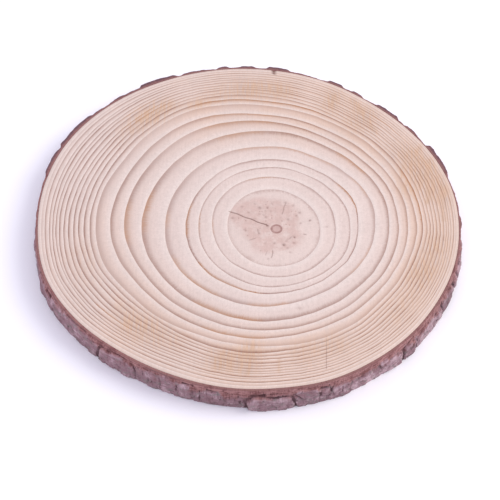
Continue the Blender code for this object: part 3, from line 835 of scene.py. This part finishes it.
def make_bark():
    """One closed ring: the sawn rim, the rounded edge, the outside down, and back up the inside."""
    turn = turns(BARK_COLUMNS)
    edge = wood_edge(turn)
    heights = np.linspace(THICKNESS - BARK_ROUNDING, BARK_ROUNDING, BARK_ROWS)
    out, cover, tone = bark_shape(*np.meshgrid(turn, heights))
    # How far each point lies below its neighbours: the material paints shade in the hollows and a
    # highlight where the bark stands out.
    hollow = np.clip((blurred(out, *HOLLOW_REACH) - out) / HOLLOW_DEPTH, -1, 1)
    still = np.zeros_like(turn)
    rows = []
    values = []

    def add_row(radius, height, number, hollow_row=still, rim=1.0):
        """A loop of points, with the cover and tone of one row of the outside."""
        height = height + still
        rows.append((radius, height))
        out_row = radius - edge
        values.append(bark_values(turn, height, out_row, cover[number], tone[number], hollow_row, rim))

    rough = ruffle(RIM_ROUGH, turn, 0.0)
    for share, drops in RIM_ROWS:
        radius = edge - BARK_TUCK + share * (out[0] - BARK_ROUNDING + BARK_TUCK)
        add_row(radius, THICKNESS - drops * RIM_DROP + (rough if share else 0), 0)
    add_row(edge + out[0] - 0.7 * BARK_ROUNDING, THICKNESS - 0.3 * BARK_ROUNDING, 0)
    for number, height in enumerate(heights):
        add_row(edge + out[number], height, number, hollow[number], 0.0)
    add_row(edge + out[-1] - 0.4 * BARK_ROUNDING, 0.1 * BARK_ROUNDING, -1, rim=0.0)
    add_row(edge + 0.5 * out[-1], 0.0, -1)
    add_row(edge - BARK_TUCK, 0.0, -1)
    points = np.concatenate([place(radius, turn, height) for radius, height in rows])
    faces = []
    for number in range(len(rows)):
        following = (number + 1) % len(rows)
        faces.extend(strip(number * BARK_COLUMNS, following * BARK_COLUMNS, BARK_COLUMNS))
    steps = [np.mean(np.hypot(*np.subtract(second, first))) for first, second in zip(rows, rows[1:])]
    down = np.append(0.0, np.cumsum(steps)) / sum(steps)

    def map_of(corners, faces_at):
        """Strips over one another, each a length of the rim and the outside, with its inside above."""
        row = corners // BARK_COLUMNS
        column = corners % BARK_COLUMNS
        face_column = faces_at % BARK_COLUMNS
        column = np.where(column < face_column, column + BARK_COLUMNS, column)
        each = BARK_COLUMNS // MAP_STRIPS
        shelf = face_column // each
        left, wide, low, tall = STRIP_MAP
        inside = faces_at // BARK_COLUMNS == len(rows) - 1
        along = np.where(inside, STRIP_INSIDE[0] + STRIP_INSIDE[1] * (row > 0), STRIP_OUTSIDE * down[row])
        return np.stack([left + wide * (column - shelf * each) / each, low + tall * (shelf + along)], 1)

    return make_mesh("bark_skin", points, faces, gathered(values), map_of)


class Value:
    """A number, a colour or a vector that comes out of a node; sums and products add nodes."""

    def __init__(self, graph, socket):
        self.graph = graph
        self.socket = socket

    def __add__(self, other):
        return self.graph.math("ADD", self, other)

    def __sub__(self, other):
        return self.graph.math("SUBTRACT", self, other)

    def __mul__(self, other):
        return self.graph.math("MULTIPLY", self, other)

    def held(self, other):
        """The product, held between 0 and 1."""
        return self.graph.math("MULTIPLY", self, other, True)

    def between(self, low, high, first=0.0, last=1.0):
        """The value from low..high, taken smoothly to first..last."""
        inputs = {"Value": self, "From Min": low, "From Max": high, "To Min": first, "To Max": last}
        return self.graph.add("MapRange", 0, inputs, interpolation_type="SMOOTHSTEP")


class Graph:
    """A material's nodes, added by short calls that return values."""

    def __init__(self, name):
        self.material = bpy.data.materials.new(name)
        self.material.use_nodes = True
        self.tree = self.material.node_tree
        self.shader = self.tree.nodes["Principled BSDF"]

    def put(self, socket, value):
        if isinstance(value, Value):
            self.tree.links.new(value.socket, socket)
        else:
            socket.default_value = value

    def add(self, kind, output, inputs, **settings):
        """A node with its inputs, each by name or number."""
        node = self.tree.nodes.new("ShaderNode" + kind)
        for label, setting in settings.items():
            setattr(node, label, setting)
        for label, value in inputs.items():
            self.put(node.inputs[label], value)
        return Value(self, node.outputs[output])

    def value(self, label, output="Fac"):
        return self.add("Attribute", output, {}, attribute_name=label)

    def position(self):
        return self.add("TexCoord", "Object", {})

    def math(self, operation, first, second=0.0, clamp=False):
        return self.add("Math", 0, {0: first, 1: second}, operation=operation, use_clamp=clamp)

    def mix(self, share, first, second, blend="MIX"):
        return self.add("Mix", 2, {0: share, 6: first, 7: second}, data_type="RGBA", blend_type=blend)

    def stretched(self, vector, scale):
        return self.add("VectorMath", 0, {0: vector, 1: scale}, operation="MULTIPLY")

    def along(self, vector, direction):
        """How far a vector reaches in a fixed direction."""
        return self.add("VectorMath", "Value", {0: vector, 1: direction}, operation="DOT_PRODUCT")

    def noise(self, vector, scale, detail=3.0, roughness=0.55):
        """Noise between 0 and 1; a scale of three numbers stretches it."""
        if isinstance(scale, tuple):
            vector = self.stretched(vector, scale)
            scale = 1.0
        inputs = {"Vector": vector, "Scale": scale, "Detail": detail, "Roughness": roughness}
        return self.add("TexNoise", "Fac", inputs)

    def cells(self, vector, scale, output="Distance"):
        return self.add("TexVoronoi", output, {"Vector": vector, "Scale": scale})

    def bump(self, height, strength, distance):
        inputs = {"Height": height, "Strength": strength, "Distance": distance}
        self.put(self.shader.inputs["Normal"], self.add("Bump", "Normal", inputs))

    def finish(self, shown, roughness, shine):
        self.put(self.shader.inputs["Base Color"], shown)
        self.put(self.shader.inputs["Roughness"], roughness)
        self.shader.inputs["Specular IOR Level"].default_value = shine
        return self.material


def colour(red, green, blue, light=LEVEL_LIGHT):
    """A colour as shown on screen, from 0 to 255, as the paint that shows so under that light."""
    shares = [part / 255 for part in (red, green, blue)]
    linear = [part / 12.92 if part <= 0.04045 else ((part + 0.055) / 1.055) ** 2.4 for part in shares]
    return (*[min(1, part / strength) for part, strength in zip(linear, light)], 1.0)


SPRING_WOOD = colour(234, 211, 206)
SPRING_WOOD_FRESH = colour(243, 225, 221)
SPRING_WOOD_OUTER = colour(231, 200, 187)
SUMMER_WOOD = colour(168, 131, 122)
SUMMER_WOOD_OUTER = colour(166, 122, 104)
SUMMER_WOOD_ORANGE = colour(180, 126, 92)
GOLDEN_WOOD = colour(220, 184, 162)
HEART_WOOD = colour(222, 191, 185)
HEART_SPECK = colour(170, 128, 120)
PITH_WOOD = colour(212, 177, 172)
PITH_LINE = colour(176, 136, 131)
RIM_WOOD = colour(238, 217, 212)
STAIN = colour(120, 76, 68)
INNER_BARK = colour(166, 120, 122, SIDE_LIGHT)
INNER_BARK_DARK = colour(116, 72, 74, SIDE_LIGHT)
PLATE = colour(142, 110, 121, SIDE_LIGHT)
# The pale tone of some plates, and the painted highlight where the bark stands out.
PALE_PLATE_AND_HIGHLIGHT = colour(192, 162, 174, SIDE_LIGHT)
PLATE_DARK = colour(98, 74, 80, SIDE_LIGHT)
PLATE_GREY = colour(128, 116, 118, SIDE_LIGHT)
# Dark pits in the bark, and the painted shade in its hollows.
DARK_PIT_AND_PAINTED_SHADE = colour(70, 42, 47, SIDE_LIGHT)
BARK_RIM = colour(158, 112, 110)
PLATE_RIM = colour(118, 84, 92)


def fine_crack(graph, spot):
    """1 in the fine crack and 0 beside it; it starts faint at the inner end."""
    start, end, half = FINE_CRACK
    first = (PITH + flat_place(*start)) * MM
    across = (flat_place(*end) - flat_place(*start)) * MM
    length = np.hypot(*across)
    ahead = across / length
    aside = (-ahead[1], ahead[0])
    gone = graph.along(spot, (*ahead, 0)) - first @ ahead
    off = graph.along(spot, (*aside, 0)) - first @ aside
    stray = (graph.noise(spot, 300, 1) - 0.5) * (half * MM)
    line = graph.math("ABSOLUTE", off + stray).between(0.5 * half * MM, 1.6 * half * MM, 1, 0)
    line = line * gone.between(0, 0.5 * length, 0.12, 0.42)
    line = line * gone.between(-0.1 * length, 0)
    return line * gone.between(length, 0.95 * length)


def wood_material():
    """Rings from the phase of each, with fibre, rays, patches, the heart's specks and the marks."""
    graph = Graph("wood")
    mix, noise, value = graph.mix, graph.noise, graph.value
    spot = graph.position()
    rays = noise(value("spoke", "Vector"), (150, 150, 14), 2)
    saw = noise(spot, (1300, 90, 0), 2)
    fibre = noise(spot, 2600, 2, 0.7)
    grain = noise(spot, 800, 2, 0.6)
    mottle = noise(spot, 42)
    phase = value("phase")
    gold = value("gold")
    heart = value("heart")
    pith = value("pith")
    streak = (rays - 0.5) * 0.24 + (fibre - 0.5) * 0.12 + (grain - 0.5) * 0.2
    late = (phase + streak).between(value("late_start"), 1)
    late = graph.math("POWER", late, 1.5) * value("late_dark")
    late = late * mottle.between(0.2, 0.8, 0.85, 1.12)
    outer = value("outer").held(mottle.between(0.25, 0.75, 0.6, 1.25))
    spring = mix(outer, SPRING_WOOD, SPRING_WOOD_OUTER)
    spring = mix(phase.between(0, 0.55, 0.65, 0), spring, SPRING_WOOD_FRESH)
    golden = gold * mottle.between(0.3, 0.65, 0.55, 1.1)
    spring = mix(golden.held(saw.between(0.35, 0.65, 0.35, 1.65)), spring, GOLDEN_WOOD)
    spring = mix(value("rim") * 0.4, spring, RIM_WOOD)
    summer = mix(outer, SUMMER_WOOD, SUMMER_WOOD_OUTER)
    summer = mix(value("orange"), summer, SUMMER_WOOD_ORANGE)
    shown = mix(graph.math("MINIMUM", late, 1), spring, summer)
    blotches = noise(spot, 260, 4, 0.65).between(0.3, 0.7, 0.45, 1.3)
    shown = mix(heart.held(blotches), shown, HEART_WOOD)
    flat = graph.stretched(spot, (1, 1, 0))
    specks = graph.cells(flat, 520).between(0.06, 0.26, 1, 0)
    some = graph.cells(flat, 520, "Color").between(0.52, 0.56)
    shown = mix(specks * some * heart * 0.6, shown, HEART_SPECK)
    shown = mix(pith, shown, PITH_WOOD)
    line = pith.between(0, 0.5) * phase.between(0.5, 0.72)
    line = line * noise(spot, 500, 2).between(0.3, 0.6, 0.6, 1)
    shown = mix(line, shown, PITH_LINE)
    stain = graph.math("MAXIMUM", value("stain"), fine_crack(graph, spot))
    shown = mix(stain * 0.85, shown, STAIN)
    shade = fibre.between(0.2, 0.8, 0.93, 1.05) * grain.between(0.25, 0.75, 0.955, 1.035)
    saw_marks = (saw - 0.5) * gold.between(0, 0.8, 0.14, 0.55)
    shade = shade * ((rays - 0.5) * 0.12 + 1 + saw_marks)
    shade = shade * mottle.between(0.2, 0.8, 0.97, 1.02)
    shown = mix(1, shown, shade, "MULTIPLY")
    graph.bump(fibre * 0.5 + rays * 0.5, 0.25, 0.0002)
    return graph.finish(shown, late.between(0, 1, 0.68, 0.5), 0.3)


def bark_material():
    """Red-brown inner bark under grey-brown plates, with dark pits, painted shade in its hollows and a
    painted highlight where it stands out.
    """
    graph = Graph("bark")
    mix, noise, value = graph.mix, graph.noise, graph.value
    spoke = value("spoke", "Vector")
    upright = noise(spoke, (150, 150, 30), 4, 0.65)
    level = noise(spoke, (16, 16, 150), 4, 0.6)
    patches = noise(spoke, (26, 26, 22))
    pits = noise(spoke, (75, 75, 90), 3, 0.6)
    dust = noise(graph.position(), 1500, 3, 0.7)
    turned = noise(spoke, (9, 9, 12), 1).between(0.42, 0.58)
    streaks = level + (upright - level) * turned
    layered = level * 0.45 + upright * 0.3 + patches * 0.25
    inner = mix(layered.between(0.41, 0.56), INNER_BARK_DARK, INNER_BARK)
    tone = value("tone") * 0.3 + (streaks - 0.5) * 0.9 + (patches - 0.5) * 1.2
    plate = mix(tone.between(0, 0.45), PLATE, PALE_PLATE_AND_HIGHLIGHT)
    plate = mix(tone.between(-0.05, -0.45), plate, PLATE_DARK)
    low_down = value("level").between(0.9, 0.35)
    cover = graph.math("MAXIMUM", value("cover") * 0.8, low_down)
    cover = (cover + (patches - 0.5) * 1.6).between(0.15, 0.9)
    shown = mix(cover, inner, plate)
    lichen = noise(spoke, (34, 34, 60), 2).between(0.52, 0.66, 0, 0.75)
    shown = mix(lichen * cover, shown, PLATE_GREY)
    shown = mix(pits.between(0.42, 0.27, 0, 0.8), shown, DARK_PIT_AND_PAINTED_SHADE)
    hollow = value("hollow")
    # Painted shade: the hollows are darkened towards the pit colour.
    painted_hollow_shade = hollow.between(0.15, 0.85, 0, 0.85) * patches.between(0.35, 0.6, 0.55, 1)
    shown = mix(painted_hollow_shade, shown, DARK_PIT_AND_PAINTED_SHADE)
    # Painted highlight: where the bark stands out above its neighbours it is paled.
    shown = mix(hollow.between(-0.25, -1, 0, 0.3), shown, PALE_PLATE_AND_HIGHLIGHT)
    rim = mix(streaks.between(0.3, 0.5), INNER_BARK_DARK, BARK_RIM)
    rim = mix(value("out").held(pits.between(0.3, 0.6, 0.5, 1.3)), rim, PLATE_RIM)
    shown = mix(value("rim"), shown, rim)
    # The dust's speckle, times the painted shade by direction.
    dust_and_painted_shade = value("shade") * dust.between(0.2, 0.8, 0.86, 1.12)
    shown = mix(1, shown, dust_and_painted_shade, "MULTIPLY")
    graph.bump(dust + streaks, 0.45, 0.0003)
    return graph.finish(shown, dust.between(0.2, 0.8, 0.82, 0.96), 0.25)


def add_floor():
    side = FLOOR_SIZE / 2
    mesh = bpy.data.meshes.new("floor")
    corners = [(-side, -side), (side, -side), (side, side), (-side, side)]
    mesh.from_pydata([(x, y, -FLOOR_DROP) for x, y in corners], [], [(0, 1, 2, 3)])
    mesh.materials.append(Graph("floor").finish(FLOOR_COLOUR, 0.9, 0.1))
    floor = add_object("floor", mesh)


def add_aimed(name, data, spot, back):
    """An object that looks the other way from a direction."""
    made = add_object(name, data)
    made.location = spot
    made.rotation_mode = "QUATERNION"
    made.rotation_quaternion = (-back).to_track_quat("-Z", "Y")
    return made


def add_camera():
    """At the photo's own angle: found from the outline of the sawn face."""
    angle = math.radians(CAMERA_ELEVATION)
    back = Vector((0, -math.cos(angle), math.sin(angle)))
    data = bpy.data.cameras.new("camera")
    data.sensor_width = SENSOR_WIDTH
    data.lens = CAMERA_DISTANCE * FACE_PIXELS / FACE_WIDTH * SENSOR_WIDTH / PHOTO_SIZE
    data.clip_start, data.clip_end = CAMERA_CLIP
    spot = (Vector(CAMERA_AIM) + back * CAMERA_DISTANCE) * MM
    scene.camera = add_aimed("camera", data, spot, back)


def add_light():
    """A soft lamp to the right and behind, in a pale room with a violet cast in its shade."""
    world = bpy.data.worlds.new("room")
    world.use_nodes = True
    background = world.node_tree.nodes["Background"]
    background.inputs["Color"].default_value = ROOM_COLOUR
    background.inputs["Strength"].default_value = ROOM_STRENGTH
    scene.world = world
    data = bpy.data.lights.new("key", "AREA")
    data.shape = "DISK"
    data.size = LAMP_SIZE
    data.energy = LAMP_POWER
    data.color = LAMP_COLOUR
    add_aimed("key", data, Vector(LAMP_PLACE), Vector(LAMP_PLACE))
    scene.view_settings.view_transform = "Standard"


def main():
    wood = make_wood()
    wood.data.materials.append(wood_material())
    bark = make_bark()
    bark.data.materials.append(bark_material())
    for piece, node in ((wood, "wood"), (bark, "bark")):
        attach(piece, "root")
        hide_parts(node)
    add_floor()
    add_camera()
    add_light()


main()
